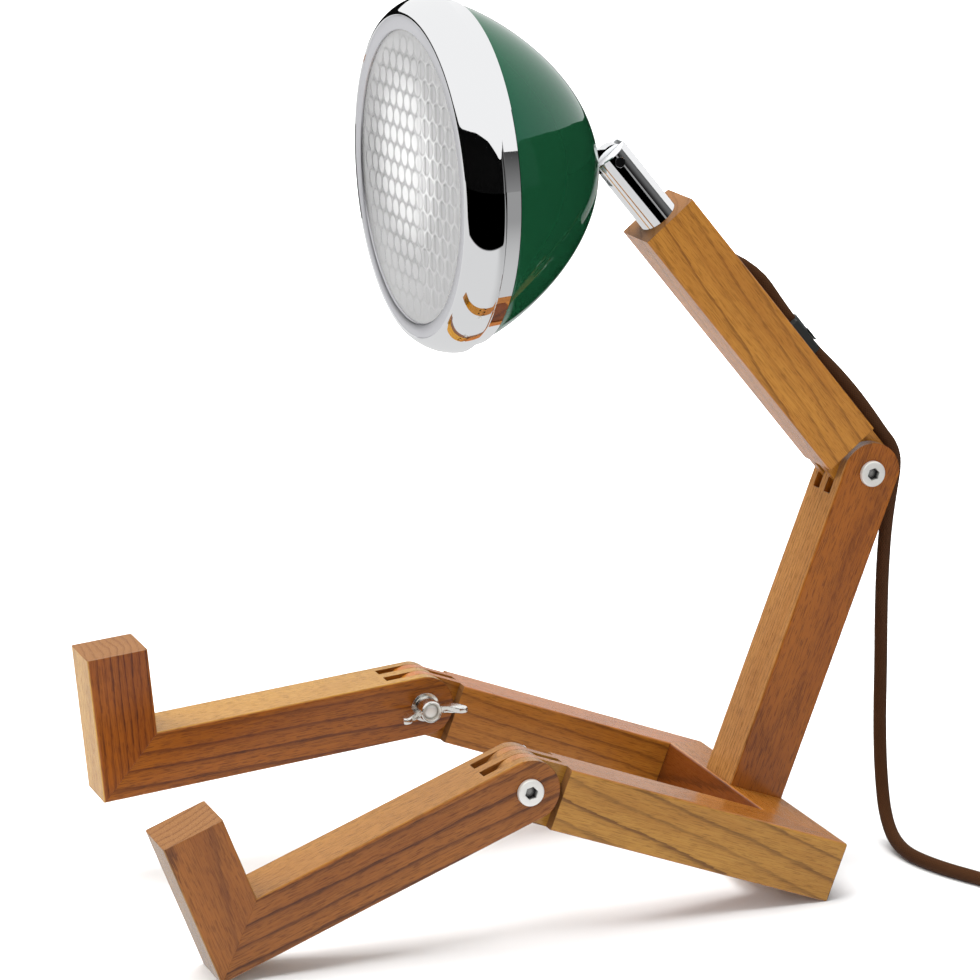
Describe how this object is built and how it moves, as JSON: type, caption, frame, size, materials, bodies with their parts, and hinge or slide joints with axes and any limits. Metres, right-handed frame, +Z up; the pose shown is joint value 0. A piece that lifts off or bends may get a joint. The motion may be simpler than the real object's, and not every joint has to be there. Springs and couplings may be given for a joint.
{
  "type": "desk lamp",
  "caption": "Desk lamp with a jointed wooden frame that sits like a stick figure, and a round headlamp-style shade on a tilting neck.",
  "frame": {"origin": "on the floor plane, under the middle of the box round the lamp without its free cord", "axes": "+Z up, -Y to the front, where the feet point and the head looks, +X to the lamp's own left"},
  "size_m": [0.2078, 0.4398, 0.3588],
  "materials": {
    "oiled_wood": "oiled, straight grain with dark streaks",
    "nickel": "polished nickel plate",
    "zinc_steel": "zinc plated",
    "chrome": "mirror",
    "satin_lip": "satin",
    "black_plastic": "matte",
    "gasket_rubber": "matte",
    "green_enamel": "gloss enamel",
    "lens_glass": "pressed honeycomb relief, clear",
    "reflector": "bright",
    "white_ceramic": "glazed",
    "led_white": "opal",
    "cord_textile": "braided textile"
  },
  "bodies": {
    "hip": {"cross_bar": "oiled_wood", "left_thigh": "oiled_wood", "right_thigh": "oiled_wood", "post": "oiled_wood", "post_screw": "zinc_steel", "waist_bolt": "nickel", "waist_washer": "nickel", "cord_bend": "cord_textile", "cord_lower": "cord_textile", "cord_coil": "cord_textile", "plug_relief": "black_plastic", "plug_body": "black_plastic", "plug_pins": "nickel"},
    "left_lower_leg": {"left_shin": "oiled_wood", "left_foot": "oiled_wood", "left_knee_bolt": "nickel", "left_knee_washer": "nickel"},
    "right_lower_leg": {"right_shin": "oiled_wood", "right_foot": "oiled_wood", "right_knee_bolt": "nickel", "right_knee_washer": "nickel"},
    "upper": {"upper_bar": "oiled_wood", "neck_tube": "chrome", "knuckle_pin": "nickel", "cord_bush": "black_plastic", "cord_clip": "black_plastic", "inner_lead": "black_plastic", "cord_upper": "cord_textile"},
    "head": {"bowl": "green_enamel", "trim_ring": "chrome", "bezel": "satin_lip", "lens": "lens_glass", "lens_gasket": "gasket_rubber", "reflector": "reflector", "lens_clips": "zinc_steel", "knuckle": "nickel", "stem_nut": "zinc_steel", "lamp_holder": "white_ceramic", "led_bulb": "led_white", "dimmer_module": "black_plastic"},
    "left_knee_nut": {"left_knee_wing_nut": "nickel"},
    "right_knee_nut": {"right_knee_wing_nut": "nickel"},
    "waist_nut": {"waist_wing_nut": "nickel"}
  },
  "joints": [
    {"name": "left_knee", "type": "hinge", "parent": "hip", "child": "left_lower_leg", "pos_m": [0.059, -0.01942, 0.06125], "axis": [1, 0, 0], "range_deg": [-41.8, 48.1]},
    {"name": "right_knee", "type": "hinge", "parent": "hip", "child": "right_lower_leg", "pos_m": [-0.059, -0.01942, 0.06125], "axis": [1, 0, 0], "range_deg": [-26, 63.9]},
    {"name": "waist", "type": "hinge", "parent": "hip", "child": "upper", "pos_m": [0, 0.15277, 0.1579], "axis": [1, 0, 0], "range_deg": [-60.1, 29.8], "deforming": ["cord_bend"]},
    {"name": "head_tilt", "type": "hinge", "parent": "upper", "child": "head", "pos_m": [0, 0.0434, 0.2913], "axis": [1, 0, 0], "range_deg": [-51.8, 38.1]},
    {"name": "left_knee_nut_spin", "type": "hinge", "parent": "left_lower_leg", "child": "left_knee_nut", "pos_m": [0.0465, -0.01942, 0.06125], "axis": [1, 0, 0], "continuous": true},
    {"name": "right_knee_nut_spin", "type": "hinge", "parent": "right_lower_leg", "child": "right_knee_nut", "pos_m": [-0.0465, -0.01942, 0.06125], "axis": [1, 0, 0], "continuous": true},
    {"name": "waist_nut_spin", "type": "hinge", "parent": "hip", "child": "waist_nut", "pos_m": [-0.0125, 0.15277, 0.1579], "axis": [1, 0, 0], "continuous": true}
  ]
}
